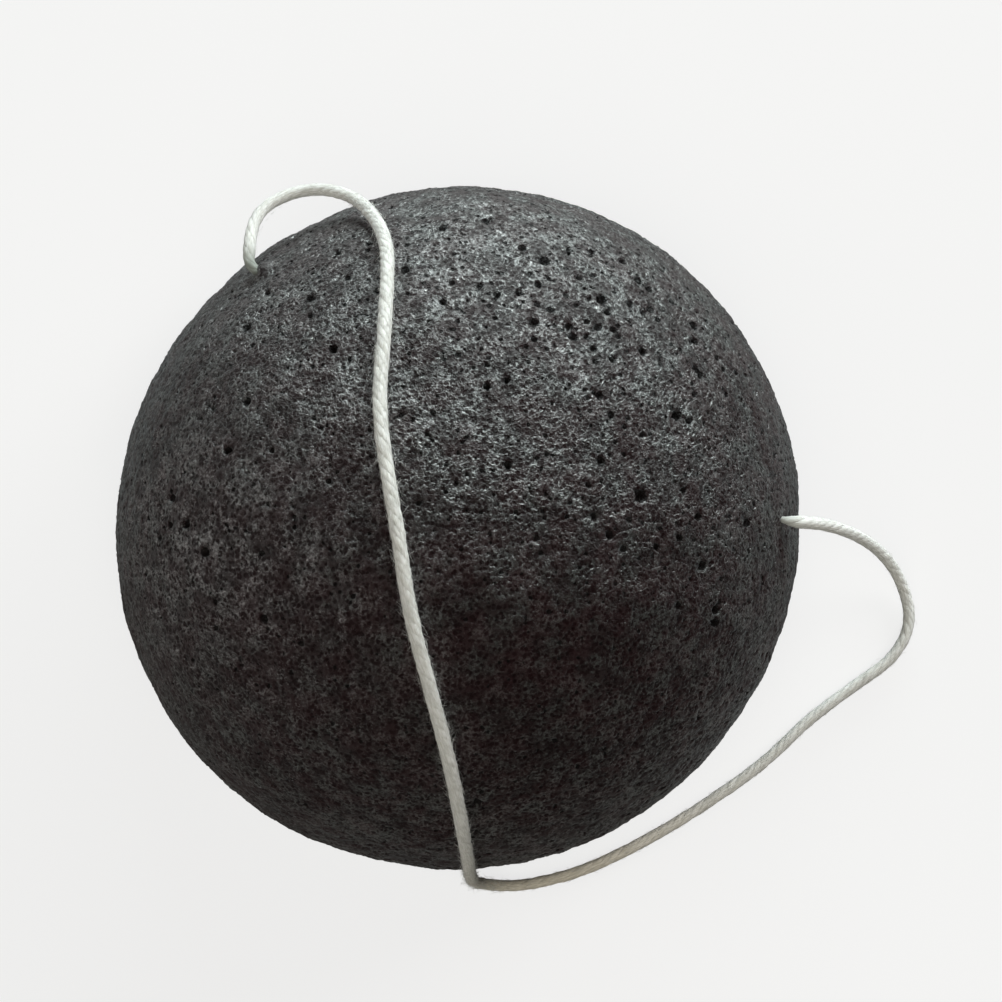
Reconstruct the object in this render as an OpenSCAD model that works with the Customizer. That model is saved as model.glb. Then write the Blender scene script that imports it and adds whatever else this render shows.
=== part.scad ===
// Konjac face sponge: a porous half ball on a flat base, with a cotton string loop.
// The string passes straight through the sponge and is closed by a knot inside it.
// The base stands on z = 0, and the z axis is the sponge's own axis.

/* [Sponge] */
// Diameter of the sponge at its widest
sponge_d = 80; // [70:1:100]
// Height from the flat base to the top of the dome
sponge_h = 39.8; // [32:0.1:45]
// Radius of the round edge between the dome and the flat base
edge_r = 6.5; // [3:0.5:10]

/* [Pores] */
// How many of the largest pores open on the dome
pore_count = 240; // [0:10:300]
// Diameter of the smallest of these pores
pore_min_d = 0.8; // [0.6:0.1:1.2]
// Diameter of the largest of these pores
pore_max_d = 1.9; // [1.2:0.1:2.4]

/* [Channel] */
// Height of the string channel's axis above the base
channel_h = 16.5; // [10:0.5:22]
// Distance from the sponge's axis to the channel's axis
channel_off = 16.5; // [8:0.5:22]
// Heading of the channel, in degrees from the x axis
channel_turn = -25.5; // [-45:0.5:0]
// Gap between the string and the channel's wall
channel_gap = 0.3; // [0.2:0.05:0.6]
// Depth of the widened mouth at each end of the channel
mouth_depth = 2.4; // [1.5:0.1:4]
// How much wider than the channel a mouth is at its rim, on each side
mouth_flare = 0.8; // [0.4:0.1:1.2]

/* [String] */
// Diameter of the cotton string
string_d = 1.6; // [1.2:0.1:2]
// How deep inside a mouth the straight inner run ends
run_inset = 1.6; // [1:0.1:2.4]

/* [Knot] */
// Turns of string round the knot's core
knot_turns = 3; // [2:1:4]
// Spacing of the turns along the knot
knot_pitch = 1.3; // [1.1:0.05:1.5]
// Distance from the knot's axis to the middle of a turn
knot_turn_r = 1.45; // [1.2:0.05:1.6]
// Length of each cut end that stands out of the knot
tail_len = 3; // [1:0.5:6]
// Gap between a cut end and the string beside it
tail_gap = 0.15; // [0.1:0.05:0.4]
// Gap between the knot and the pocket around it
pocket_gap = 0.3; // [0.2:0.05:0.6]

/* [Hidden] */
$fn = 96;

// Sides of the outer string's tube, and the spacing of its rings in string diameters
loop_sides = 8;
ring_step_share = 2.5;
// Steps round a pore, and how deep its centre lies below the surface as a share of its radius
pore_fn = 24;
pore_sink_share = 0.15;
// How far a pore strays from its even place, as a share of the spacing
pore_stray_share = 0.35;
pore_seed = 7;
// The turn from one pore to the next that spreads them most evenly
golden_turn = 137.508;
// Extra length that takes a cut clear of the surface
overrun = 3;

// Middle of the edge's round, and the dome's centre and radius: the dome runs smoothly into the round
// where the line through both centres meets them
edge_x = sponge_d / 2 - edge_r;
dome_r = (pow(edge_x, 2) + pow(sponge_h - edge_r, 2) - pow(edge_r, 2)) / (2 * (sponge_h - 2 * edge_r));
dome_z = sponge_h - dome_r;
join_way = [edge_x, edge_r - dome_z] / norm([edge_x, edge_r - dome_z]);
join_far = [edge_x, edge_r] + sponge_d * join_way;

// The channel's direction, its middle, and half its length between the mouths on the dome
string_r = string_d / 2;
channel_r = string_r + channel_gap;
channel_dir = [cos(channel_turn), sin(channel_turn), 0];
channel_mid = [-channel_dir.y * channel_off, channel_dir.x * channel_off, channel_h];
channel_half = sqrt(pow(dome_r, 2) - pow(channel_h - dome_z, 2) - pow(channel_off, 2));
left_mouth = channel_mid - channel_dir * channel_half;
right_mouth = channel_mid + channel_dir * channel_half;

// The inner runs reach from the knot's ends to just inside the mouths
knot_len = (knot_turns - 1) * knot_pitch + string_d;
run_end = channel_half - run_inset;
run_len = run_end - knot_len / 2;
left_end = channel_mid - channel_dir * run_end;
right_end = channel_mid + channel_dir * run_end;
tail_off = string_d + tail_gap;
pocket_r = tail_off + string_r + pocket_gap;
pocket_len = knot_len + 2 * tail_len + 2 * pocket_gap;

// The string's way round the outside, from the left mouth over the dome and along the table
// to the right mouth
loop_route = [
    [-22.6, 29.3, 16.5], [-23.4, 30.6, 16.3], [-23.7, 32.2, 15.5], [-23.2, 34.6, 13.9],
    [-21.8, 37.0, 12.3], [-19.0, 38.7, 11.7], [-15.6, 39.1, 12.5], [-12.2, 38.0, 15.1],
    [-9.6, 35.6, 19.3], [-7.6, 31.0, 26.2], [-7.5, 22.5, 33.5], [-7.9, 14.0, 37.6],
    [-7.2, 7.5, 39.5], [-5.9, 0, 40.4], [-4.6, -8.5, 39.7], [-2.5, -17.0, 37.1],
    [-0.6, -25.0, 32.6], [0.5, -31.5, 26.6], [1.2, -36.8, 18.9], [1.5, -40.2, 10.8],
    [1.7, -41.3, 6.3], [2.4, -42.0, 3.2], [4.2, -42.5, 1.4], [7.5, -42.6, 0.9],
    [14.5, -40.9, 0.9], [22.5, -37.1, 0.9], [30.0, -32.5, 0.9], [36.5, -27.8, 0.9],
    [41.7, -22.9, 0.9], [47.0, -18.9, 0.9], [51.5, -15.6, 0.9], [53.7, -11.7, 0.9],
    [53.2, -8.0, 1.3], [51.5, -4.8, 3.2], [48.8, -2.2, 6.6], [45.2, -0.4, 11.0],
    [41.5, 0.6, 14.8], [38.4, 0.8, 16.4]
];
loop_points = concat([left_end], loop_route, [right_end]);
loop_last = len(loop_points) - 1;

// A smooth curve through four neighbouring points, and its direction, for t from 0 to 1
function unit(v) = v / norm(v);
function curve_at(a, b, c, d, t) =
    (2 * b + (c - a) * t + (2 * a - 5 * b + 4 * c - d) * t * t + (3 * b - a - 3 * c + d) * t * t * t) / 2;
function curve_way(a, b, c, d, t) =
    unit((c - a) + 2 * (2 * a - 5 * b + 4 * c - d) * t + 3 * (3 * b - a - 3 * c + d) * t * t);

// The string goes on along the channel beyond both ends of the outer stretch
function loop_point(i) =
    i < 0 ? left_end + channel_dir * run_inset
    : i > loop_last ? right_end - channel_dir * run_inset
    : loop_points[i];
function loop_steps(i) =
    max(1, round(norm(loop_points[i + 1] - loop_points[i]) / (ring_step_share * string_d)));

// Where each ring's middle lies, and which way the string runs there
loop_spots = [for (i = [0 : loop_last - 1]) for (k = [0 : loop_steps(i) - 1]) [i, k / loop_steps(i)]];
loop_centres = concat(
    [for (s = loop_spots)
        curve_at(loop_point(s[0] - 1), loop_point(s[0]), loop_point(s[0] + 1), loop_point(s[0] + 2), s[1])],
    [right_end]);
ring_last = len(loop_centres) - 1;
loop_ways = [for (i = [0 : ring_last])
    i == 0 || i == ring_last ? -channel_dir
    : let (s = loop_spots[i])
        curve_way(loop_point(s[0] - 1), loop_point(s[0]), loop_point(s[0] + 1), loop_point(s[0] + 2), s[1])];
// Each ring's first side is the one before it, turned square to the string
function squared(side, way) = unit(side - way * (side * way));
loop_sideways = [
    for (i = 0, side = [0, 0, 1];
         i <= ring_last;
         i = i + 1, side = squared(side, loop_ways[min(i, ring_last)]))
        side];
loop_length = sum_of([for (i = [1 : ring_last]) norm(loop_centres[i] - loop_centres[i - 1])]);
function sum_of(v, i = 0) = i < len(v) ? v[i] + sum_of(v, i + 1) : 0;
echo(outer_string_length = loop_length, rings = ring_last + 1);

// Even places for the pores on the dome, each a little astray
pore_strays = rands(-pore_stray_share, pore_stray_share, 2 * pore_count + 1, pore_seed);
pore_sizes = rands(0, 1, pore_count + 1, pore_seed + 1);
function pore_d(i) = pore_min_d + (pore_max_d - pore_min_d) * pow(pore_sizes[i], 3);
function pore_place(i) =
    let (lowest = edge_r + join_way.y * edge_r + pore_max_d)
    let (z = lowest + (sponge_h - lowest) * (i + 1 / 2 + pore_strays[2 * i]) / pore_count)
    let (reach = sqrt(pow(dome_r, 2) - pow(z - dome_z, 2)))
    let (even_turn = 360 / sqrt(PI * pore_count) * dome_r / reach)
    let (turn = i * golden_turn + pore_strays[2 * i + 1] * even_turn)
    [reach * cos(turn), reach * sin(turn), z];
function clear_of_mouths(p) =
    let (keep = channel_r + mouth_flare + pore_max_d)
    norm(p - left_mouth) > keep && norm(p - right_mouth) > keep;

// Half of the sponge's section, right of its axis: the dome's circle with its lower corner rounded off
module sponge_section() {
    difference() {
        intersection() {
            translate([0, dome_z]) circle(r = dome_r);
            square([sponge_d, sponge_h + overrun]);
        }
        difference() {
            polygon([[edge_x, edge_r], join_far, [sponge_d, -overrun], [edge_x, -overrun]]);
            translate([edge_x, edge_r]) circle(r = edge_r);
        }
    }
}

// Places its children with +Z along the channel, and the channel's middle at their origin
module along_channel() {
    translate(channel_mid) rotate([0, 90, channel_turn]) children();
}

// A mouth that opens outwards from the channel's bore along +Z
module mouth_cut() {
    mouth_len = mouth_depth + overrun;
    translate([0, 0, channel_half - mouth_depth])
        cylinder(h = mouth_len, r1 = channel_r, r2 = channel_r + mouth_flare * mouth_len / mouth_depth);
}

// The bore for the string, its two mouths and the pocket that holds the knot
module channel_cut() {
    bore_len = 2 * (channel_half + overrun);
    along_channel() {
        cylinder(h = bore_len, r = channel_r, center = true);
        cylinder(h = pocket_len, r = pocket_r, center = true);
        mouth_cut();
        mirror([0, 0, 1]) mouth_cut();
    }
}

// One pore: a ball-shaped pit whose centre lies just under the surface
module pore_cut(i) {
    place = pore_place(i);
    inward = unit(place - [0, 0, dome_z]);
    if (clear_of_mouths(place))
        translate(place - inward * pore_d(i) / 2 * pore_sink_share) sphere(d = pore_d(i), $fn = pore_fn);
}

module sponge_body() {
    color("#3a3b3b") difference() {
        rotate_extrude() sponge_section();
        channel_cut();
        for (i = [0 : 1 : pore_count - 1]) pore_cut(i);
    }
}

// The free string outside the sponge, one tube swept along the route
module string_loop() {
    ring_points = [for (i = [0 : ring_last]) for (k = [0 : loop_sides - 1])
        let (turn = 360 * k / loop_sides)
        let (across = cross(loop_ways[i], loop_sideways[i]))
        loop_centres[i] + string_r * (cos(turn) * loop_sideways[i] + sin(turn) * across)];
    walls = [for (i = [0 : ring_last - 1]) for (k = [0 : loop_sides - 1])
        let (a = i * loop_sides + k, b = i * loop_sides + (k + 1) % loop_sides)
        each [[a, a + loop_sides, b], [b, a + loop_sides, b + loop_sides]]];
    first_cap = [for (k = [1 : loop_sides - 2]) [0, k, k + 1]];
    last_start = ring_last * loop_sides;
    last_cap = [for (k = [1 : loop_sides - 2]) [last_start, last_start + k + 1, last_start + k]];
    color("#e6e7e0") polyhedron(points = ring_points, faces = concat(first_cap, walls, last_cap));
}

// A straight stretch of the string inside the sponge, from the knot out along +Z
module string_run() {
    color("#dcdcd2") translate([0, 0, knot_len / 2]) cylinder(h = run_len, r = string_r);
}

module string_run_left() {
    along_channel() mirror([0, 0, 1]) string_run();
}

module string_run_right() {
    along_channel() string_run();
}

// Half a turn apart, a cut end stands out of each end of the knot
module knot_tail() {
    tail_from = knot_len / 2 - string_r;
    translate([tail_off, 0, tail_from]) cylinder(h = string_r + tail_len, r = string_r);
}

module string_knot() {
    color("#dcdcd2") along_channel() {
        rotate_extrude() {
            translate([0, -knot_len / 2]) square([string_r, knot_len]);
            for (k = [0 : knot_turns - 1])
                translate([knot_turn_r, (k - (knot_turns - 1) / 2) * knot_pitch]) circle(d = string_d);
        }
        knot_tail();
        rotate([180, 0, 0]) knot_tail();
    }
}

sponge_body();
string_loop();
string_run_left();
string_run_right();
string_knot();
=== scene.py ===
"""Konjac face sponge with its cotton string: a porous charcoal half ball that lies on its flat base.
Lengths are worked out in millimetres, in the part's frame, and go into Blender in metres."""

import math

import bpy
import numpy as np
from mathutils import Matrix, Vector, kdtree


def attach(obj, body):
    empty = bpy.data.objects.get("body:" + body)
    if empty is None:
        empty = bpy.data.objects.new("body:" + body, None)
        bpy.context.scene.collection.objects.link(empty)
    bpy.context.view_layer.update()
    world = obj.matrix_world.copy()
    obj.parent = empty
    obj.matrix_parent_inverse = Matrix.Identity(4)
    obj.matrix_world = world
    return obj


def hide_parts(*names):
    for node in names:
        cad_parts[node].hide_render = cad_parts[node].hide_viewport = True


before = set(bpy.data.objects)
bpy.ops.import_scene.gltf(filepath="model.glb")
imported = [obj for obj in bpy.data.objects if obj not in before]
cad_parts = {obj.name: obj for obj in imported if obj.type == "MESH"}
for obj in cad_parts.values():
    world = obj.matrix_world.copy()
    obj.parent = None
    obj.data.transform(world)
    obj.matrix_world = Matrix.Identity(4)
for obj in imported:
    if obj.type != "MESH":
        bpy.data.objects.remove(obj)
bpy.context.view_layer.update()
MM = 0.001
FOAM_SEED, CORD_SEED, FUZZ_SEED = 11, 5, 9
rng = np.random.default_rng(FOAM_SEED)

# Camera: straight above the table, a little to the right of the sponge's axis and behind it
CAM = np.array([5.03, 3.18, 350.0])
FRAME_PX = 1002
FOCAL_PX = 2931.2
SENSOR = 36.0

cam_data = bpy.data.cameras.new("camera")
cam_data.sensor_width = SENSOR
cam_data.lens = SENSOR * FOCAL_PX / FRAME_PX
cam_data.clip_start = 0.01
cam_data.clip_end = 20
camera = bpy.data.objects.new("camera", cam_data)
camera.location = Vector(CAM * MM)
bpy.context.scene.collection.objects.link(camera)
bpy.context.scene.camera = camera

# The sponge's outline: the flat base's radius, the round edge's, and the dome's centre and radius
EDGE_X, EDGE_R = 33.5, 6.5
DOME_Z, DOME_R = -1.0375, 40.8375

# The ends of the string outside the foam, the way of the channel between them and the string's width
LEFT_END = [-21.22, 28.40, 16.5]
RIGHT_END = [35.43, 1.38, 16.5]
CHANNEL_DIR = np.array([0.90259, -0.43051, 0])
RUN_INSET = 1.6

# The string's route between its two ends, as in the part's source
ROUTE = [
    [-22.6, 29.3, 16.5], [-23.4, 30.6, 16.3], [-23.7, 32.2, 15.5], [-23.2, 34.6, 13.9],
    [-21.8, 37.0, 12.3], [-19.0, 38.7, 11.7], [-15.6, 39.1, 12.5], [-12.2, 38.0, 15.1],
    [-9.6, 35.6, 19.3], [-7.6, 31.0, 26.2], [-7.5, 22.5, 33.5], [-7.9, 14.0, 37.6],
    [-7.2, 7.5, 39.5], [-5.9, 0, 40.4], [-4.6, -8.5, 39.7], [-2.5, -17.0, 37.1],
    [-0.6, -25.0, 32.6], [0.5, -31.5, 26.6], [1.2, -36.8, 18.9], [1.5, -40.2, 10.8],
    [1.7, -41.3, 6.3], [2.4, -42.0, 3.2], [4.2, -42.5, 1.4], [7.5, -42.6, 0.9],
    [14.5, -40.9, 0.9], [22.5, -37.1, 0.9], [30.0, -32.5, 0.9], [36.5, -27.8, 0.9],
    [41.7, -22.9, 0.9], [47.0, -18.9, 0.9], [51.5, -15.6, 0.9], [53.7, -11.7, 0.9],
    [53.2, -8.0, 1.3], [51.5, -4.8, 3.2], [48.8, -2.2, 6.6], [45.2, -0.4, 11.0],
    [41.5, 0.6, 14.8], [38.4, 0.8, 16.4],
]
# Steps of the curve between two of those points, the distance between the drawn string's rings, and the
# length over which its bends are eased
CURVE_STEPS = 40
RING_STEP = 0.32
BEND_EASE = 1.4


def unit(v):
    return v / np.linalg.norm(v, axis=-1, keepdims=True)


def smooth(share):
    """A share from 0 to 1 with soft ends."""
    return share * share * (3 - 2 * share)


def fade(value, start, length):
    """One up to a start, and down to nought over a length."""
    return np.clip(1 - (value - start) / length, 0, 1)


def hump(value, middle, width):
    """A soft hump of height one."""
    return np.exp(-((value - middle) / width) ** 2)


def smooth_route():
    """Points every RING_STEP along one smooth curve through the route."""
    left, right = np.array(LEFT_END), np.array(RIGHT_END)
    pts = np.array([left + CHANNEL_DIR * RUN_INSET, left, *ROUTE, right, right - CHANNEL_DIR * RUN_INSET])
    t = np.linspace(0, 1, CURVE_STEPS, endpoint=False)[:, None]
    fine = []
    for a, b, c, d in zip(pts[:-3], pts[1:-2], pts[2:-1], pts[3:]):
        fine.append((2 * b + (c - a) * t + (2 * a - 5 * b + 4 * c - d) * t ** 2
                     + (3 * b - a - 3 * c + d) * t ** 3) / 2)
    fine = np.vstack(fine + [right[None]])
    along = np.concatenate([[0], np.cumsum(np.linalg.norm(np.diff(fine, axis=0), axis=1))])
    count = int(round(along[-1] / RING_STEP))
    s = np.linspace(0, along[-1], count + 1)
    return np.stack([np.interp(s, along, fine[:, k]) for k in range(3)], 1), s


def eased(points, reach):
    """The same curve with its bends eased over a length, as a limp cord lies."""
    pad = int(4 * reach / RING_STEP)
    share = np.exp(-0.5 * (np.arange(-pad, pad + 1) * RING_STEP / reach) ** 2)
    before = points[0] + (points[0] - points[1]) * np.arange(pad, 0, -1)[:, None]
    after = points[-1] + (points[-1] - points[-2]) * np.arange(1, pad + 1)[:, None]
    long = np.vstack([before, points, after])
    return np.stack([np.convolve(long[:, k], share / share.sum(), "valid") for k in range(3)], 1)


path, path_s = smooth_route()
string_length = path_s[-1]
lie = eased(path, BEND_EASE)
off_dome = np.linalg.norm(lie - (0, 0, DOME_Z), axis=1) - DOME_R


def frames_along(points):
    """Directions along a curve, and two more square to it that turn as little as they can."""
    ways = unit(np.gradient(points, axis=0))
    sides = np.zeros_like(points)
    side = np.array([0.0, 0, 1])
    for i, way in enumerate(ways):
        side = unit(side - way * (side @ way))
        sides[i] = side
    return ways, sides, np.cross(ways, sides)


def wander(s, amount, spacing, random):
    """A smooth random number along a length, no larger than an amount, with a fresh draw at each spacing."""
    knots = random.uniform(-1, 1, int(s[-1] / spacing) + 4)
    x = s / spacing
    i = x.astype(int)
    f = smooth(x - i)
    return amount * (knots[i] * (1 - f) + knots[i + 1] * f)


def make_object(name, points, faces, material, attributes=()):
    """A mesh object from points in millimetres, with smooth shading."""
    mesh = bpy.data.meshes.new(name)
    mesh.from_pydata((np.asarray(points) * MM).tolist(), [], np.asarray(faces).tolist())
    mesh.validate()
    mesh.polygons.foreach_set("use_smooth", [True] * len(mesh.polygons))
    for label, kind, values in attributes:
        mesh.attributes.new(label, kind, "POINT").data.foreach_set(
            "vector" if kind == "FLOAT_VECTOR" else "value", np.asarray(values, np.float32).ravel())
    mesh.materials.append(material)
    mesh.update()
    obj = bpy.data.objects.new(name, mesh)
    bpy.context.scene.collection.objects.link(obj)
    return obj


# Materials
class Nodes:
    """Short calls that build a material's nodes."""

    def __init__(self, name):
        self.material = bpy.data.materials.new(name)
        self.material.use_nodes = True
        self.tree = self.material.node_tree
        self.tree.nodes.clear()
        self.surface = self.add("ShaderNodeBsdfPrincipled")
        self.out = self.add("ShaderNodeOutputMaterial")
        self.link(self.surface.outputs["BSDF"], self.out.inputs["Surface"])

    def add(self, kind, **settings):
        node = self.tree.nodes.new(kind)
        for key, value in settings.items():
            setattr(node, key, value)
        return node

    def link(self, output, socket):
        if isinstance(output, bpy.types.NodeSocket):
            self.tree.links.new(output, socket)
        else:
            socket.default_value = output

    def math(self, operation, a, b=0.0, c=0.0, clamp=False):
        node = self.add("ShaderNodeMath", operation=operation, use_clamp=clamp)
        for socket, value in zip(node.inputs, (a, b, c)):
            self.link(value, socket)
        return node.outputs[0]

    def times(self, a, b, clamp=False):
        return self.math("MULTIPLY", a, b, clamp=clamp)

    def line(self, value, slope, start, clamp=False):
        """A value times a slope, and a start added."""
        return self.math("MULTIPLY_ADD", value, slope, start, clamp)

    def between(self, value, low, high, to_low=0.0, to_high=1.0):
        """A soft step from one number to another."""
        node = self.add("ShaderNodeMapRange", interpolation_type="SMOOTHSTEP")
        for socket, v in zip(node.inputs, (value, low, high, to_low, to_high)):
            self.link(v, socket)
        return node.outputs[0]

    def mix(self, factor, a, b, blend="MIX"):
        node = self.add("ShaderNodeMix", data_type="RGBA", blend_type=blend)
        self.link(factor, node.inputs[0])
        for socket, colour in ((node.inputs[6], a), (node.inputs[7], b)):
            self.link(colour if isinstance(colour, bpy.types.NodeSocket) else (*colour, 1), socket)
        return node.outputs[2]

    def noise(self, where, size_mm, detail=2.0, rough=0.5):
        node = self.add("ShaderNodeTexNoise")
        self.link(where, node.inputs["Vector"])
        node.inputs["Scale"].default_value = 1 / (size_mm * MM)
        node.inputs["Detail"].default_value = detail
        node.inputs["Roughness"].default_value = rough
        return node.outputs["Fac"]

    def cells(self, where, size_mm, feature="DISTANCE_TO_EDGE"):
        node = self.add("ShaderNodeTexVoronoi", feature=feature)
        self.link(where, node.inputs["Vector"])
        node.inputs["Scale"].default_value = 1 / (size_mm * MM)
        return node.outputs["Distance"]

    def scattered(self, where, size_mm):
        """The distance from the nearest of many scattered points, and that point's random number."""
        node = self.add("ShaderNodeTexVoronoi", feature="F1")
        self.link(where, node.inputs["Vector"])
        node.inputs["Scale"].default_value = 1 / (size_mm * MM)
        chance = self.add("ShaderNodeSeparateColor")
        self.link(node.outputs["Color"], chance.inputs[0])
        return node.outputs["Distance"], chance.outputs[0]

    def warp(self, where, size_mm, amount_mm):
        """The same place, moved a little by noise."""
        node = self.add("ShaderNodeTexNoise")
        self.link(where, node.inputs["Vector"])
        node.inputs["Scale"].default_value = 1 / (size_mm * MM)
        node.inputs["Detail"].default_value = 1.0
        shift = self.add("ShaderNodeVectorMath", operation="MULTIPLY_ADD")
        self.link(node.outputs["Color"], shift.inputs[0])
        shift.inputs[1].default_value = (2 * amount_mm * MM,) * 3
        self.link(where, shift.inputs[2])
        return shift.outputs["Vector"]

    def bump(self, height, distance_mm, strength=1.0, onto=None):
        node = self.add("ShaderNodeBump")
        node.inputs["Strength"].default_value = strength
        node.inputs["Distance"].default_value = distance_mm * MM
        self.link(height, node.inputs["Height"])
        if onto is not None:
            self.link(onto, node.inputs["Normal"])
        return node.outputs["Normal"]

    def attribute(self, name):
        return self.add("ShaderNodeAttribute", attribute_name=name, attribute_type="GEOMETRY")


# The way across the sponge in which its grain gets crisper and its pores denser
CROWDED_WAY = (0.45, 0.89, 0)
# Sizes of the patterns in the foam's material
WALL_CELL, WIDE_CELL, FINE_CELL, RIDGE_CELL = 0.60, 0.95, 0.34, 0.64
SMALL_PORE_CELL, GRAIN_CELL = 1.25, 0.40
SPECK, SPARK = 0.30, 0.24
# Colours of the foam: deep between its walls, on them and in its flecks, the two tints that these three are
# multiplied by, and the painted shade in its pits and pores
DEEP, LIT, FLECK = (0.0082, 0.0029, 0.0034), (0.0200, 0.0105, 0.0112), (0.044, 0.044, 0.043)
WARM, COOL = (1.2, 0.95, 0.98), (0.9, 1.01, 0.98)
PIT_SHADE, PORE_SHADE = (0.005, 0.004, 0.004), (0.006, 0.006, 0.006)


def sponge_material():
    n = Nodes("sponge_foam")
    where = n.add("ShaderNodeTexCoord").outputs["Object"]
    pore = n.attribute("pore").outputs["Fac"]
    pit = n.attribute("pit").outputs["Fac"]
    place = n.add("ShaderNodeSeparateXYZ")
    n.link(where, place.inputs[0])
    high = place.outputs["Z"]
    along = n.add("ShaderNodeVectorMath", operation="DOT_PRODUCT")
    n.link(where, along.inputs[0])
    along.inputs[1].default_value = CROWDED_WAY
    side = along.outputs["Value"]
    crisp = n.between(side, -8 * MM, 14 * MM)

    # cells with thin, uneven walls between them
    uneven = n.warp(where, 0.5, 0.22)
    wall = n.between(n.cells(uneven, WALL_CELL, "F1"), 0.27, 0.58)
    wide_cell = n.between(n.cells(uneven, WIDE_CELL, "F1"), 0.22, 0.44, 1, 0)
    wide_cell = n.times(wide_cell, n.between(n.noise(where, 2.2, 2), 0.44, 0.58))
    wall = n.times(wall, n.line(wide_cell, -0.7, 1.0))
    fine_wall = n.between(n.cells(uneven, FINE_CELL, "F1"), 0.22, 0.58)
    fine_wall = n.line(n.line(crisp, 0.35, 0.25), n.math("SUBTRACT", fine_wall, 1.0), 1.0)
    open_wall = n.times(n.times(wall, fine_wall), n.line(crisp, 0.18, 0.82))
    ridge = n.between(n.cells(uneven, RIDGE_CELL), 0.03, 0.13, 1, 0)
    ridge = n.times(ridge, n.line(crisp, 0.6, 0.4))

    # small round pores, more of them towards one side; their darkness is painted shade
    apart, chance = n.scattered(where, SMALL_PORE_CELL)
    crowd = n.between(side, -5 * MM, 28 * MM, 0.10, 0.28)
    small_r = n.times(n.math("POWER", chance, 2.5), crowd)
    hole = n.between(n.math("SUBTRACT", apart, small_r), -0.03, 0.03, 1, 0)
    hole = n.math("MAXIMUM", hole, n.between(pore, -0.04, 0.04))

    # bright flecks where the walls are smooth, in loose groups, and round grains that stand out
    cloud = n.between(n.noise(where, 7, 3, 0.55), 0.32, 0.68, 0.7, 1.25)
    patch = n.between(n.noise(where, 2.1, 3, 0.6), 0.38, 0.64, 0.2, 2.05)
    speck = n.between(n.noise(where, SPECK, 2, 0.6), 0.45, 0.64)
    lit = n.times(open_wall, n.line(speck, 0.75, 0.12))
    lit = n.math("ADD", lit, n.times(ridge, n.line(speck, 0.35, 0.1)))
    from_grain, pick = n.scattered(where, GRAIN_CELL)
    dot = n.times(n.between(from_grain, 0.14, 0.36, 1, 0), n.between(pick, 0.35, 0.85))
    dot = n.times(dot, n.line(crisp, 0.7, 0.3))
    lit = n.line(dot, n.line(open_wall, 0.6, 0.1), lit)

    # the side is a little smoother than the dome, with fewer flecks, and painted lighter there: a painted
    # sheen for the brighter band along the rim
    side_smooth_and_sheen = n.between(high, 10 * MM, 24 * MM, 1, 0)
    glint = n.times(n.times(lit, n.line(side_smooth_and_sheen, -0.3, 1.0)), n.times(cloud, patch), clamp=True)
    light = n.times(n.line(open_wall, 0.8, 0.1), cloud, clamp=True)
    light = n.line(side_smooth_and_sheen, 0.3, light, clamp=True)
    colour = n.mix(glint, n.mix(light, DEEP, LIT), FLECK)
    tint = n.mix(n.between(n.noise(where, 3.5, 2), 0.38, 0.62), WARM, COOL)
    colour = n.mix(1.0, colour, tint, "MULTIPLY")
    # painted shade: the small pits and the pores are darkened in the colour
    colour = n.mix(n.times(pit, 0.7), colour, PIT_SHADE)
    colour = n.mix(n.times(hole, 0.8), colour, PORE_SHADE)
    n.link(colour, n.surface.inputs["Base Color"])

    # shine, with sparse sparks in loose groups
    shine = n.line(glint, 0.51, n.line(light, 0.22, 0.07))
    spark = n.times(n.between(n.noise(where, SPARK, 1), 0.60, 0.68),
                    n.between(n.noise(where, 2.6, 3, 0.6), 0.50, 0.62))
    spark = n.times(spark, open_wall)
    shine = n.line(spark, 0.85, shine, clamp=True)
    n.link(n.times(shine, n.line(hole, -0.85, 1.0)), n.surface.inputs["Specular IOR Level"])
    rough = n.between(glint, 0.0, 0.35, 0.68, 0.46)
    n.link(n.line(spark, -0.1, rough), n.surface.inputs["Roughness"])
    n.surface.inputs["IOR"].default_value = 2.7

    height = n.math("SUBTRACT", n.math("ADD", open_wall, n.times(speck, 0.5)), hole)
    height = n.times(height, n.between(high, 10 * MM, 30 * MM, 0.5, 1))
    height = n.times(height, n.line(crisp, 0.35, 0.65))
    n.link(n.bump(height, 0.10), n.surface.inputs["Normal"])
    n.surface.inputs["Sheen Weight"].default_value = 0.13
    n.surface.inputs["Sheen Roughness"].default_value = 0.32
    n.surface.inputs["Sheen Tint"].default_value = (0.85, 0.95, 1, 1)
    return n.material


# Colours of the string: between its fibres and on them, the same inside the sponge, the grey near its ends,
# the brown that they are multiplied by where the string lies in the sponge's shadow on the table, painted
# shade with the table's bounced light, and the painted shade where the foam closes on it
COTTON_LOW, COTTON_HIGH = (0.66, 0.66, 0.62), (0.89, 0.895, 0.875)
INNER_LOW, INNER_HIGH = (0.5, 0.5, 0.46), (0.78, 0.78, 0.74)
END_GREY, TABLE_SHADE_BROWN, MOUTH_SHADE_COLOUR = (0.24, 0.27, 0.24), (0.86, 0.76, 0.62), (0.05, 0.05, 0.045)
# The size of the fibres' pattern outside and inside
FIBRE, INNER_FIBRE = 0.17, 0.3


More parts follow.
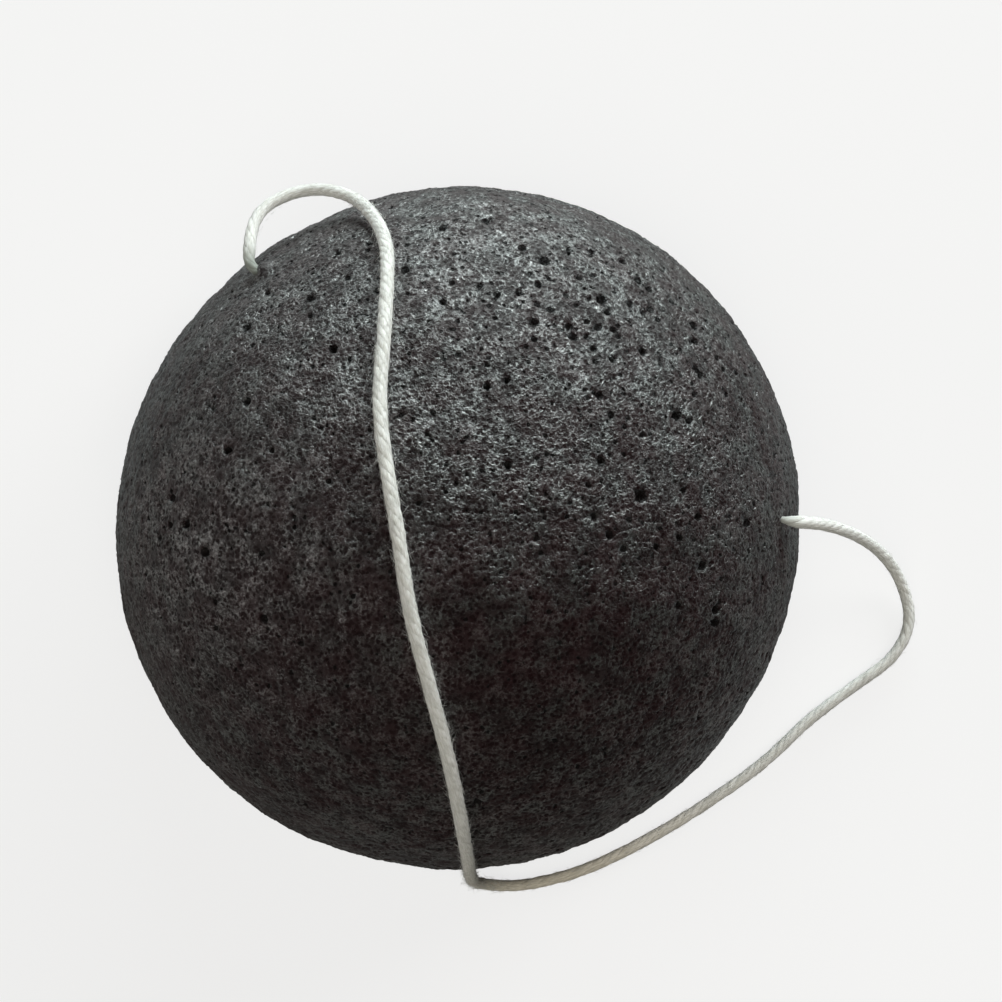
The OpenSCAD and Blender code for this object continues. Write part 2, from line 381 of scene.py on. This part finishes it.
def string_material():
    n = Nodes("cotton_string")
    lay = n.attribute("lay").outputs["Vector"]
    end_grey = n.attribute("end_grey").outputs["Fac"]
    fibre = n.noise(lay, FIBRE, 3, 0.65)
    colour = n.mix(n.between(fibre, 0.36, 0.62), COTTON_LOW, COTTON_HIGH)
    # painted shade, brown with the table's bounced light, where the string lies in the sponge's shadow
    colour = n.mix(n.attribute("table_shade").outputs["Fac"], colour, TABLE_SHADE_BROWN, "MULTIPLY")
    # greyer towards the string's two ends
    colour = n.mix(end_grey, colour, END_GREY)
    # painted shade where the foam closes on the string at its mouths
    colour = n.mix(n.attribute("mouth_shade").outputs["Fac"], colour, MOUTH_SHADE_COLOUR)
    n.link(colour, n.surface.inputs["Base Color"])
    n.surface.inputs["Roughness"].default_value = 0.8
    n.link(n.bump(fibre, 0.05), n.surface.inputs["Normal"])
    n.surface.inputs["Sheen Weight"].default_value = 0.1
    n.surface.inputs["Sheen Roughness"].default_value = 0.5
    n.surface.inputs["Subsurface Weight"].default_value = 0.2
    n.surface.inputs["Subsurface Radius"].default_value = (1, 1, 0.9)
    n.surface.inputs["Subsurface Scale"].default_value = 0.4 * MM
    return n.material


def inner_string_material():
    n = Nodes("cotton_string_inside")
    where = n.add("ShaderNodeTexCoord").outputs["Object"]
    fibre = n.noise(where, INNER_FIBRE, 3, 0.6)
    n.link(n.mix(fibre, INNER_LOW, INNER_HIGH), n.surface.inputs["Base Color"])
    n.surface.inputs["Roughness"].default_value = 0.85
    n.link(n.bump(fibre, 0.06), n.surface.inputs["Normal"])
    return n.material


foam = sponge_material()
cotton = string_material()
inner_cotton = inner_string_material()

# The string's plies: their number, radius, distance from the string's middle and length of a turn
PLIES = 5
PLY_R = 0.54
PLY_OFF = 0.25
LAY_LENGTH = 6.2
# How a ply is drawn, and the ridges of its yarns with the length of their turn
PLY_SIDES = 15
YARN_LOBES = 5
YARN_RIDGE = 0.014
YARN_TURN = 4.2
# How much a ply's turn, distance from the middle and radius wander, and over what lengths
TURN_WANDER, OFF_WANDER, R_WANDER = (0.35, 9), (0.05, 4), (0.035, 1.6)
# The string is thin on the table and full on the dome: the heights between which it grows, and a ply's
# distance from the middle and radius when it is thin, as shares of the full ones, with what growing adds
THIN_BELOW, FULL_ABOVE = 6, 26
THIN_OFF, MORE_OFF = 0.7, 0.3
THIN_R, MORE_R = 0.95, 0.05
# How much the foam squeezes the string at its left and right mouths
LEFT_SQUEEZE, RIGHT_SQUEEZE = 0.2, 0.5
# How far the string is drawn aside next to its left mouth, and in the arc after it
MOUTH_DRAG = 0.55
ARC_DRAG = (-0.3, 0.22)
# The string's painted shade where it lies in the sponge's shadow on the table, brown with the table's
# bounced light: its strength, and its middle and reach along the string
TABLE_SHADE_STRENGTH, TABLE_SHADE_AT, TABLE_SHADE_REACH = 0.75, 144, 18
# How grey the string is at its left and right ends, and how much darker painted shade makes it where the
# foam closes on it there
LEFT_GREY, RIGHT_GREY = 0.9, 0.5
LEFT_DARK, RIGHT_DARK = 0.85, 0.35


def ply_tube(k, sides, ups, random):
    """One ply of the cord, wound round the route."""
    s = path_s
    turn = 2 * math.pi * (s / LAY_LENGTH + k / PLIES) + wander(s, *TURN_WANDER, random)
    out = np.cos(turn)[:, None] * sides - np.sin(turn)[:, None] * ups
    full = smooth(np.clip((lie[:, 2] - THIN_BELOW) / (FULL_ABOVE - THIN_BELOW), 0, 1))
    squeeze = LEFT_SQUEEZE * fade(s, 2.0, 2.4) + RIGHT_SQUEEZE * fade(string_length - s, 1.7, 1.7)
    apart = PLY_OFF * (THIN_OFF + MORE_OFF * full) * (1 + wander(s, *OFF_WANDER, random)) * (1 - squeeze)
    centre = lie + out * apart[:, None]
    centre[:, 0] -= MOUTH_DRAG * hump(s, 2.4, 1.7)
    centre[:, :2] += np.array(ARC_DRAG) * hump(s, 10, 4)[:, None]
    _, a, b = frames_along(centre)
    radius = PLY_R * (THIN_R + MORE_R * full) * (1 - squeeze)
    radius *= 1 + wander(s, *R_WANDER, random)
    angle = np.arange(PLY_SIDES) / PLY_SIDES * 2 * math.pi
    yarn_turn = (2 * math.pi / YARN_TURN) * s[:, None]
    r = radius[:, None] * (1 + YARN_RIDGE * np.cos(YARN_LOBES * angle[None] - yarn_turn))
    ring = centre[:, None] + r[..., None] * (np.cos(angle)[None, :, None] * a[:, None]
                                             + np.sin(angle)[None, :, None] * b[:, None])
    # a place on the unrolled ply, for the pattern of its fibres
    lay_turn = angle[None] - yarn_turn / YARN_LOBES
    lay = np.stack([np.cos(lay_turn) * PLY_R * MM, np.sin(lay_turn) * PLY_R * MM,
                    np.broadcast_to(s[:, None] * MM / 8 + k, lay_turn.shape)], -1)
    return ring.reshape(-1, 3), lay.reshape(-1, 3)


def tube_faces(rings, sides_count, start):
    """Walls and end caps of a tube, as triangles."""
    i = np.arange(rings - 1)[:, None] * sides_count
    k = np.arange(sides_count)[None]
    a = (start + i + k).ravel()
    b = (start + i + (k + 1) % sides_count).ravel()
    walls = np.concatenate([np.stack([a, b, a + sides_count], 1),
                            np.stack([b, b + sides_count, a + sides_count], 1)])
    fan = np.arange(1, sides_count - 1)
    first = np.stack([np.full_like(fan, start), start + fan + 1, start + fan], 1)
    end = start + (rings - 1) * sides_count
    last = np.stack([np.full_like(fan, end), end + fan, end + fan + 1], 1)
    return np.concatenate([walls, first, last])


def make_string():
    random = np.random.default_rng(CORD_SEED)
    _, sides, ups = frames_along(lie)
    points, faces, lays = [], [], []
    for k in range(PLIES):
        ring, lay = ply_tube(k, sides, ups, random)
        faces.append(tube_faces(len(path), PLY_SIDES, sum(map(len, points))))
        points.append(ring)
        lays.append(lay)
    points = np.vstack(points)
    left, right = (np.tile(np.repeat(s, PLY_SIDES), PLIES) for s in (path_s, string_length - path_s))
    # painted shade, brown with the table's bounced light, where it lies in the sponge's shadow on the table,
    # and grey near its ends
    table_shade = TABLE_SHADE_STRENGTH * hump(left, TABLE_SHADE_AT, TABLE_SHADE_REACH)
    end_grey = LEFT_GREY * fade(left, 2.6, 3.2) ** 1.3 + RIGHT_GREY * fade(right, 2.0, 2.4)
    # and painted shade where the foam closes on it
    mouth_shade = fade(np.linalg.norm(points - (0, 0, DOME_Z), axis=1), DOME_R, 0.7)
    mouth_shade *= np.where(left < 7, LEFT_DARK, np.where(right < 5, RIGHT_DARK, 0))
    return make_object("string_cord", points, np.vstack(faces), cotton,
                       [("lay", "FLOAT_VECTOR", np.vstack(lays)), ("end_grey", "FLOAT", end_grey),
                        ("table_shade", "FLOAT", table_shade), ("mouth_shade", "FLOAT", mouth_shade)])


# The stray fibres: their number, radius and points along one, and the rings at the string's ends without any
FUZZ_COUNT = 3800
FUZZ_R = 0.017
FUZZ_POINTS = 4
BARE_RINGS = 12
# How far from the string's middle a fibre starts, the least height above the table, the least length and
# how much longer the longest is
FUZZ_START = 0.72
FUZZ_FLOOR = 0.05
FUZZ_LENGTH, FUZZ_MORE = 0.5, 1.3
# The string starts to rub on the sponge where its middle is this far from the dome, and rubs fully where it
# is a millimetre nearer: a fibre's chance and length where it doesn't rub, and what full rubbing adds
RUB_REACH = 2.4
CALM_CHANCE, RUBBED_CHANCE = 0.22, 0.78
CALM_LENGTH, RUBBED_LENGTH = 0.55, 0.45


def make_fuzz():
    """Stray fibres that stand off the cord, most of them where it rubs on the sponge."""
    random = np.random.default_rng(FUZZ_SEED)
    ways, sides, ups = frames_along(lie)
    rubbed = np.clip(RUB_REACH - off_dome, 0, 1)
    chance = (CALM_CHANCE + RUBBED_CHANCE * rubbed)[BARE_RINGS:-BARE_RINGS]
    rings = np.arange(BARE_RINGS, len(lie) - BARE_RINGS)
    picks = random.choice(rings, FUZZ_COUNT, p=chance / chance.sum())
    points, faces = [], []
    steps = np.linspace(0, 1, FUZZ_POINTS)[:, None]
    for i in picks:
        turn = random.uniform(0, 2 * math.pi)
        out = math.cos(turn) * sides[i] + math.sin(turn) * ups[i]
        if out[2] < -0.3:
            out = -out
        across = np.cross(ways[i], out)
        length = FUZZ_LENGTH + FUZZ_MORE * random.uniform() ** 2
        length *= CALM_LENGTH + RUBBED_LENGTH * rubbed[i]
        way = ways[i] * random.choice([-1, 1]) * random.uniform(0.4, 1) + across * random.uniform(-0.7, 0.7)
        lift = random.uniform(0.05, 0.45) ** 1.5 * length
        line = (lie[i] + out * FUZZ_START + unit(way) * length * steps
                + out * (lift * steps * (1.6 - steps)) + across * random.uniform(-0.3, 0.3) * steps ** 2)
        line[:, 2] = np.maximum(line[:, 2], FUZZ_FLOOR)
        _, a, b = frames_along(line)
        r = FUZZ_R * (1 - 0.5 * steps)
        ring = [line + r * (math.cos(t) * a + math.sin(t) * b) for t in (0, 2.1, 4.2)]
        faces.append(tube_faces(FUZZ_POINTS, 3, 3 * FUZZ_POINTS * len(points)))
        points.append(np.stack(ring, 1).reshape(-1, 3))
    points = np.vstack(points)
    return make_object("string_fuzz", points, np.vstack(faces), cotton,
                       [("lay", "FLOAT_VECTOR", points * MM), ("end_grey", "FLOAT", np.zeros(len(points)))])


cord = make_string()
fuzz = make_fuzz()
for piece in (cord, fuzz):
    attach(piece, "root")
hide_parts("string_loop")

# The sponge's radius, the angle at which its edge meets the dome, and the lengths of both along the outline
SPONGE_R = EDGE_X + EDGE_R
JOIN = math.atan2(EDGE_R - DOME_Z, EDGE_X)
EDGE_S = EDGE_R * (math.pi / 2 + JOIN)
DOME_S = DOME_R * (math.pi / 2 - JOIN)
OUTLINE_S = EDGE_X + EDGE_S + DOME_S

# The side of the mesh's triangles on the dome and on the base, and a row's height and a point's largest
# stray as shares of it
GRAIN = 0.372
BASE_GRAIN = 0.8
ROW_SHARE = 0.866
STRAY = 0.24

# The pores: how many in all, the places tried for them, the least foam between two, the least radius, and
# the side of the boxes in which near ones are looked up
PORE_COUNT = 2300
PORE_TRIES = 60000
PORE_GAP = 0.2
PORE_R = 0.18
PORE_GRID = 2.5
# How much larger than the least a usual pore can be, and a rare one, low on the sponge and high on it, and
# how far up the dome low goes
PORE_MORE = 0.1
LARGEST_LOW, LARGEST_HIGH = 0.4, 0.16
LOW_DOME = 4
# The pores get denser in the crowded way: the distance from the axis where they do, and over what length
CROWD_AT, CROWD_LENGTH = 10, 6
# A pore's narrower width as a share of the wider one, and its depth as a share of its radius
PORE_STRETCH = (0.82, 1)
PORE_DEPTH = (0.9, 1.4)
# Radius of a pore that shows, as a share of its width in the picture, how many times deeper it is than
# another, and the most that it is drawn out
SEEN_SHARE = 0.56
SEEN_DEEPER = 1.35
SEEN_STRETCH = 1.35
# The width of a pore's lip, and how far its points are pulled in
PORE_LIP = 0.6 * GRAIN
LIP_PULL = 0.75

# The foam at the string's two mouths: how far from one it is shaped by it, how near it has no pores, and how
# far it is drawn in round the string
MOUTH_REACH = 5
MOUTH_FREE = 1.4
MOUTH_DIP = 0.2
# Where the foam swells beside each mouth, in pixels of the picture, by how much, and the swelling's width
LEFT_SWELL = (264, 268, 1.3)
RIGHT_SWELL = (779, 508, 0.4)
SWELL_WIDTH = 1.2

# The grain of the foam: the share of points that are small cells, their depths, and the walls' unevenness
CELL_SHARE = 0.16
CELL_DEPTH = (0.06, 0.26)
UNEVEN = 0.035
# Slow waves of the foam, each with its length and height
WAVES = ((2.2, 0.04), (5, 0.05), (11, 0.08))
# The outline's departures from a circle: an oval, and swellings and flats, each with its angle, its height
# and its width in degrees
OVAL, OVAL_ANGLE = 0.36, 45
OUTLINE_HUMPS = ((118, -0.17, 20), (222, 0.15, 12), (256, -0.35, 12))

# The pores that show most, each with its place in the picture and its width, in pixels
SEEN_PORES = [
    (486, 220, 8), (544, 261, 10.5), (522, 249, 8), (601, 300, 10), (534, 322, 9), (569, 326, 8),
    (573, 337, 9), (497, 294, 7), (519, 292, 7), (443, 302, 7), (551, 310, 7), (443, 228, 8),
    (637, 282, 8), (648, 290, 8), (622, 263, 7), (629, 304, 6), (593, 349, 7), (612, 360, 7),
    (642, 352, 8), (507, 380, 7), (487, 386, 7), (599, 396, 8), (611, 415, 7), (677, 415, 10),
    (643, 434, 6), (519, 306, 5), (487, 365, 6), (458, 355, 6), (451, 330, 5), (587, 321, 6),
    (595, 362, 6), (650, 311, 7), (642, 314, 6), (569, 250, 6), (591, 252, 8), (452, 281, 6),
    (480, 285, 6), (579, 278, 6), (641, 496, 12), (594, 516, 7), (610, 535, 9), (624, 549, 7),
    (657, 547, 7), (679, 538, 7), (629, 520, 6), (684, 490, 6), (588, 485, 7), (716, 610, 9),
    (715, 623, 8), (704, 566, 9), (699, 517, 8), (747, 523, 8), (679, 606, 7), (601, 462, 9),
    (246, 401, 9), (226, 450, 8), (205, 552, 10), (185, 524, 9), (170, 525, 6), (171, 498, 8),
    (328, 481, 6), (160, 538, 6), (264, 619, 8), (216, 602, 6), (234, 490, 5), (271, 450, 6),
    (401, 415, 6), (433, 412, 6), (412, 419, 5), (427, 434, 5), (478, 803, 8), (488, 855, 6),
    (405, 269, 8), (407, 244, 5), (407, 293, 5), (337, 251, 7), (369, 241, 7), (508, 465, 8),
    (467, 474, 5), (482, 471, 5), (516, 512, 5), (461, 549, 5), (537, 538, 6), (546, 494, 5),
    (541, 553, 6), (446, 492, 5), (547, 454, 5), (245, 326, 9), (332, 347, 9), (309, 297, 8),
    (309, 314, 6), (266, 291, 6), (349, 358, 5), (312, 366, 5), (377, 289, 6), (314, 418, 5),
    (693, 326, 9), (694, 342, 8), (699, 376, 7), (694, 369, 6), (705, 361, 5), (716, 359, 6),
    (693, 395, 6), (725, 395, 6), (756, 361, 5), (689, 421, 6), (672, 303, 6), (744, 377, 7),
    (734, 374, 6), (705, 323, 5), (722, 370, 6), (538, 285, 7), (566, 295, 6), (576, 305, 5),
    (555, 325, 5), (562, 330, 4), (598, 327, 8), (607, 313, 7), (593, 276, 5), (590, 255, 8),
    (570, 251, 7), (530, 274, 5), (589, 299, 5), (534, 339, 7), (526, 347, 5), (547, 349, 5),
    (587, 337, 7), (613, 330, 7), (618, 326, 5), (618, 337, 6), (612, 268, 4), (537, 304, 6),
]


def profile(s):
    """Radius and height on the outline at a length s from the middle of the base, and its direction out."""
    s = np.asarray(s, float)
    edge = -math.pi / 2 + (s - EDGE_X) / EDGE_R
    dome = JOIN + (s - EDGE_X - EDGE_S) / DOME_R
    on_base, on_edge = s <= EDGE_X, s <= EDGE_X + EDGE_S
    r = np.where(on_base, s, np.where(on_edge, EDGE_X + EDGE_R * np.cos(edge), DOME_R * np.cos(dome)))
    z = np.where(on_edge, EDGE_R + EDGE_R * np.sin(edge), DOME_Z + DOME_R * np.sin(dome))
    z = np.where(on_base, 0, z)
    a = np.where(on_base, -math.pi / 2, np.where(on_edge, edge, dome))
    return r, z, np.cos(a), np.sin(a)


def on_surface(s, turn):
    """Places on the sponge and the directions out there, for lengths along the outline and angles."""
    r, z, nr, nz = profile(s)
    c, d = np.cos(turn), np.sin(turn)
    return np.stack([r * c, r * d, z], -1), np.stack([nr * c, nr * d, nz], -1)


def on_dome(px, py):
    """The place on the dome that the camera sees at a pixel, and the direction out there."""
    way = unit(np.array([(px - FRAME_PX / 2) / FOCAL_PX, -(py - FRAME_PX / 2) / FOCAL_PX, -1]))
    from_middle = CAM - np.array([0, 0, DOME_Z])
    b = from_middle @ way
    reach = -b - math.sqrt(b * b - from_middle @ from_middle + DOME_R ** 2)
    place = CAM + way * reach
    return place, unit(place - np.array([0, 0, DOME_Z]))


def grain_at(s):
    """The side of the mesh's triangles at a length from the middle of the base."""
    return BASE_GRAIN + (GRAIN - BASE_GRAIN) * np.clip((s - EDGE_X + 3) / 4, 0, 1)


def zip_rings(first, second):
    """Triangles between two rings of points, each given as (number of its first point, angles)."""
    (a0, a), (b0, b) = first, second
    faces = []
    i = j = 0
    while i < len(a) or j < len(b):
        next_a = a[i + 1] if i + 1 < len(a) else a[0] + 2 * math.pi if i < len(a) else math.inf
        next_b = b[j + 1] if j + 1 < len(b) else b[0] + 2 * math.pi if j < len(b) else math.inf
        here_a, here_b = a0 + i % len(a), b0 + j % len(b)
        if next_a <= next_b:
            faces.append((here_a, a0 + (i + 1) % len(a), here_b))
            i += 1
        else:
            faces.append((here_a, b0 + (j + 1) % len(b), here_b))
            j += 1
    return faces


def even_mesh():
    """An even net of points and triangles over the whole sponge, a little irregular."""
    stops = [0.0]
    while stops[-1] < OUTLINE_S:
        stops.append(stops[-1] + grain_at(stops[-1]) * ROW_SHARE)
    stops = np.array(stops) * OUTLINE_S / stops[-1]
    s_all, turn_all, rings, size_all = [0.0], [0.0], [], [BASE_GRAIN]
    for s in stops[1:-1]:
        size = grain_at(s)
        count = max(6, int(round(2 * math.pi * profile(s)[0] / size)))
        angles = (np.arange(count) + rng.uniform()) * 2 * math.pi / count
        rings.append((len(s_all), angles))
        s_all.extend([s] * count)
        turn_all.extend(angles)
        size_all.extend([size] * count)
    s_all.append(OUTLINE_S)
    turn_all.append(0.0)
    size_all.append(GRAIN)
    faces = []
    start, angles = rings[0]
    faces += [(0, start + (i + 1) % len(angles), start + i) for i in range(len(angles))]
    for lower, upper in zip(rings[:-1], rings[1:]):
        faces += zip_rings(lower, upper)
    start, angles = rings[-1]
    faces += [(start + i, start + (i + 1) % len(angles), len(s_all) - 1) for i in range(len(angles))]
    s_all, turn_all, size_all = map(np.array, (s_all, turn_all, size_all))
    stray = rng.uniform(-STRAY, STRAY, (2, len(s_all))) * size_all
    stray[:, [0, -1]] = 0
    flat_end = np.abs(s_all - EDGE_X) < 1
    stray[0][flat_end] *= 0.2
    r = np.maximum(profile(s_all)[0], 0.5)
    return on_surface(s_all + stray[0], turn_all + stray[1] / r), s_all, size_all, np.array(faces)


def choose_pores():
    """Places, directions and radii of the pores: those that show first, then smaller ones all over."""
    places, ways, radii = [], [], []
    grid = {}

    def key(p):
        return tuple(np.floor(p / PORE_GRID).astype(int))

    def put(place, way, radius):
        places.append(place)
        ways.append(way)
        radii.append(radius)
        grid.setdefault(key(place), []).append((place, radius))

    for px, py, wide in SEEN_PORES:
        place, way = on_dome(px, py)
        put(place, way, wide * SEEN_SHARE * (CAM[2] - place[2]) / FOCAL_PX)
    tries = rng.uniform(size=(PORE_TRIES, 2))
    s_try = OUTLINE_S * tries[:, 0]
    low = s_try < EDGE_X + EDGE_S + LOW_DOME
    sizes = PORE_R + PORE_MORE * rng.uniform(size=PORE_TRIES) ** 2
    sizes += np.where(low, LARGEST_LOW, LARGEST_HIGH) * rng.uniform(size=PORE_TRIES) ** 12
    points, normals = on_surface(s_try, tries[:, 1] * 2 * math.pi)
    crowd = 0.3 + 0.7 / (1 + np.exp(-(points @ np.array(CROWDED_WAY) - CROWD_AT) / CROWD_LENGTH))
    keep = rng.uniform(size=PORE_TRIES) < profile(s_try)[0] / SPONGE_R * crowd
    for p, n, r in zip(points[keep], normals[keep], sizes[keep]):
        if len(places) >= PORE_COUNT:
            break
        k = key(p)
        near = [q for a in (-1, 0, 1) for b in (-1, 0, 1) for c in (-1, 0, 1)
                for q in grid.get((k[0] + a, k[1] + b, k[2] + c), [])]
        if all(np.linalg.norm(p - q) >= r + qr + PORE_GAP for q, qr in near):
            put(p, n, r)
    return places, ways, radii


def make_sponge():
    (points, normals), s_all, sizes, faces = even_mesh()
    rest = points.copy()
    depth = np.zeros(len(points))
    pit = np.zeros(len(points))
    pore = np.full(len(points), -0.5)
    taken = np.zeros(len(points), bool)
    tree = kdtree.KDTree(len(points))
    for i, p in enumerate(points):
        tree.insert(p, i)
    tree.balance()

    def near(place, reach):
        return np.array([i for _, i, _ in tree.find_range(Vector(place), reach)], int)

    # the two mouths of the string's channel: the foam is drawn in round the string and swells beside it
    for end, out, (px, py, swell) in ((np.array(LEFT_END), -CHANNEL_DIR, LEFT_SWELL),
                                      (np.array(RIGHT_END), CHANNEL_DIR, RIGHT_SWELL)):
        mouth = end + out * RUN_INSET
        found = near(mouth, MOUTH_REACH)
        off = rest[found] - mouth
        rho = np.linalg.norm(off - (off @ out)[:, None] * out, axis=1)
        over = np.linalg.norm(rest[found] - on_dome(px, py)[0], axis=1)
        depth[found] += MOUTH_DIP * hump(rho, 1.2, 0.8) - swell * hump(over, 0, SWELL_WIDTH)
        taken[found[rho < MOUTH_FREE]] = True

    # pores: each a bowl with a sharp lip, those that show drawn out so that they look round from above
    places, ways, radii = choose_pores()
    for number, (place, way, radius) in enumerate(zip(places, ways, radii)):
        reach = radius + PORE_LIP
        found = near(place, reach + GRAIN)
        found = found[~taken[found]]
        if not len(found):
            continue
        off = rest[found] - place
        flat = off - (off @ way)[:, None] * way
        stretch, deeper = rng.uniform(*PORE_STRETCH), 1
        axis = unit(np.cross(way, rng.normal(size=3)))
        if number < len(SEEN_PORES):
            stretch = min(0.9 / way[2], SEEN_STRETCH)
            deeper = SEEN_DEEPER
            axis = unit(np.cross(way, np.cross((0, 0, 1), way)))
        part = flat @ axis
        rho = np.linalg.norm(flat + ((1 / stretch - 1) * part)[:, None] * axis, axis=1)
        deepest = radius * rng.uniform(*PORE_DEPTH) * deeper
        inside = rho < radius
        if not inside.any():
            inside[np.argmin(rho)] = True
        if inside.sum() <= 2:
            inner = np.argmin(rho)
            points[found[inner]] -= flat[inner] * 0.8
            rho[inner] = 0
        lip = ~inside & (rho < reach)
        pull = np.where(lip, LIP_PULL * (1 - radius / np.maximum(rho, radius)), 0)
        points[found] -= flat * pull[:, None]
        t = np.clip(rho / radius, 0, 0.98)
        depth[found[inside]] += (deepest * (1 - t ** 2) ** 0.4)[inside]
        pore[found] = np.maximum(pore[found], radius - rho * (1 - pull))
        taken[found[inside | lip]] = True

    # single small cells, the grain of the walls, and slow waves of several lengths
    free = ~taken
    cell = rng.uniform(size=len(points)) < CELL_SHARE
    shallow = np.where(cell, rng.uniform(*CELL_DEPTH, len(points)), 0)
    depth += np.where(free, shallow * sizes / GRAIN, 0)
    # the pits are marked for the painted shade in the foam's colour
    pit = np.maximum(pit, np.where(free, shallow * 2.2, 0))
    depth += rng.normal(0, UNEVEN, len(points)) * np.where(taken, 0.4, 1)
    for size, amount in WAVES:
        for _ in range(4):
            wave = unit(rng.normal(size=3)) * 2 * math.pi / size
            depth += amount / 2 * np.sin(rest @ wave + rng.uniform(0, 6.28))
    depth = np.where(s_all < EDGE_X, np.maximum(depth, 0), depth)
    points -= normals * depth[:, None]

    # the outline, which is not quite a circle
    turn = np.degrees(np.arctan2(rest[:, 1], rest[:, 0])) % 360
    grow = OVAL * np.cos(np.radians(2 * (turn - OVAL_ANGLE)))
    for at, amount, wide in OUTLINE_HUMPS:
        grow += amount * hump((turn - at + 180) % 360 - 180, 0, wide)
    share = np.hypot(rest[:, 0], rest[:, 1]) / SPONGE_R
    points[:, :2] *= (1 + grow * share ** 3 / SPONGE_R)[:, None]
    points[:, 2] = np.maximum(points[:, 2], 0)
    return make_object("sponge_foam", points, faces, foam,
                       [("pit", "FLOAT", np.clip(pit, 0, 1)), ("pore", "FLOAT", pore)])


sponge = make_sponge()
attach(sponge, "root")
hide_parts("sponge_body")

for node in ("string_run_left", "string_run_right", "string_knot"):
    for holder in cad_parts[node].material_slots:
        holder.material = inner_cotton

# The table: half its width in metres, how far it lies under the part, its grey as the camera sees it and as
# it lights the part, the share of plain white in it near the part, and the distances in metres between
# which it turns all white
TABLE_HALF = 3
TABLE_DROP = 0.05
TABLE_SEEN, TABLE_LIT_BY = (0.8, 0.8, 0.8), (0.2, 0.2, 0.2)
WHITE_NEAR, WHITE_FROM, WHITE_AT = 0.75, 0.12, 0.5
WHITE = (1, 1, 1, 1)

floor_mesh = bpy.data.meshes.new("floor")
corners = [(x * TABLE_HALF, y * TABLE_HALF, 0) for x, y in ((-1, -1), (1, -1), (1, 1), (-1, 1))]
floor_mesh.from_pydata(corners, [], [(0, 1, 2, 3)])
floor = bpy.data.objects.new("floor", floor_mesh)
floor.location.z = -TABLE_DROP * MM
bpy.context.scene.collection.objects.link(floor)

n = Nodes("floor_pale")
camera_ray = n.add("ShaderNodeLightPath").outputs["Is Camera Ray"]
far = n.add("ShaderNodeVectorMath", operation="LENGTH")
n.link(n.add("ShaderNodeTexCoord").outputs["Object"], far.inputs[0])
n.link(n.mix(camera_ray, TABLE_LIT_BY, TABLE_SEEN), n.surface.inputs["Base Color"])
n.surface.inputs["Roughness"].default_value = 0.9
n.surface.inputs["Specular IOR Level"].default_value = 0.1
glow = n.add("ShaderNodeEmission")
glow.inputs["Color"].default_value = WHITE
glow.inputs["Strength"].default_value = 1.0
both = n.add("ShaderNodeMixShader")
white = n.between(far.outputs["Value"], WHITE_FROM, WHITE_AT, WHITE_NEAR, 1.0)
n.link(n.times(camera_ray, white), both.inputs[0])
n.link(n.surface.outputs[0], both.inputs[1])
n.link(glow.outputs[0], both.inputs[2])
n.link(both.outputs[0], n.out.inputs["Surface"])
floor_mesh.materials.append(n.material)


# The point that the lamps face
LAMP_AIM = Vector((0, 0, 20)) * MM


def soft_light(name, place, size, level, colour, glossy=True):
    """An area lamp, in metres, that lights a white card facing it to the level given, 1 being white."""
    data = bpy.data.lights.new(name, "AREA")
    data.shape = "RECTANGLE"
    data.size, data.size_y = size
    way = LAMP_AIM - Vector(place)
    data.energy = level * math.pi ** 2 * way.length ** 2
    data.color = colour
    lamp = bpy.data.objects.new(name, data)
    lamp.location = place
    lamp.rotation_euler = way.to_track_quat("-Z", "Y").to_euler()
    lamp.visible_glossy = glossy
    bpy.context.scene.collection.objects.link(lamp)


soft_light("key", (0.2, 1.16, 0.18), (0.9, 0.5), 1.22, (0.895, 1.0, 0.985))
soft_light("fill", (-0.1, -0.36, 1.0), (1.2, 1.2), 0.58, (1.0, 0.975, 0.87), glossy=False)
soft_light("right", (0.8, 0.75, 0.42), (0.5, 0.5), 0.58, (1.0, 1.0, 0.98), glossy=False)
soft_light("left", (-1.1, 0.0, 0.3), (0.5, 0.8), 0.14, (1.0, 0.96, 0.93))

# The light from all round, which the camera sees as white
ALL_ROUND = (0.022, 0.017, 0.017, 1)

world = bpy.data.worlds.new("world")
bpy.context.scene.world = world
world.use_nodes = True
tree = world.node_tree
back = tree.nodes["Background"]
seen = tree.nodes.new("ShaderNodeLightPath")
pick = tree.nodes.new("ShaderNodeMix")
pick.data_type = "RGBA"
pick.inputs[6].default_value = ALL_ROUND
pick.inputs[7].default_value = WHITE
tree.links.new(seen.outputs["Is Camera Ray"], pick.inputs[0])
tree.links.new(pick.outputs[2], back.inputs["Color"])
back.inputs["Strength"].default_value = 1.0

bpy.context.scene.view_settings.view_transform = "Standard"
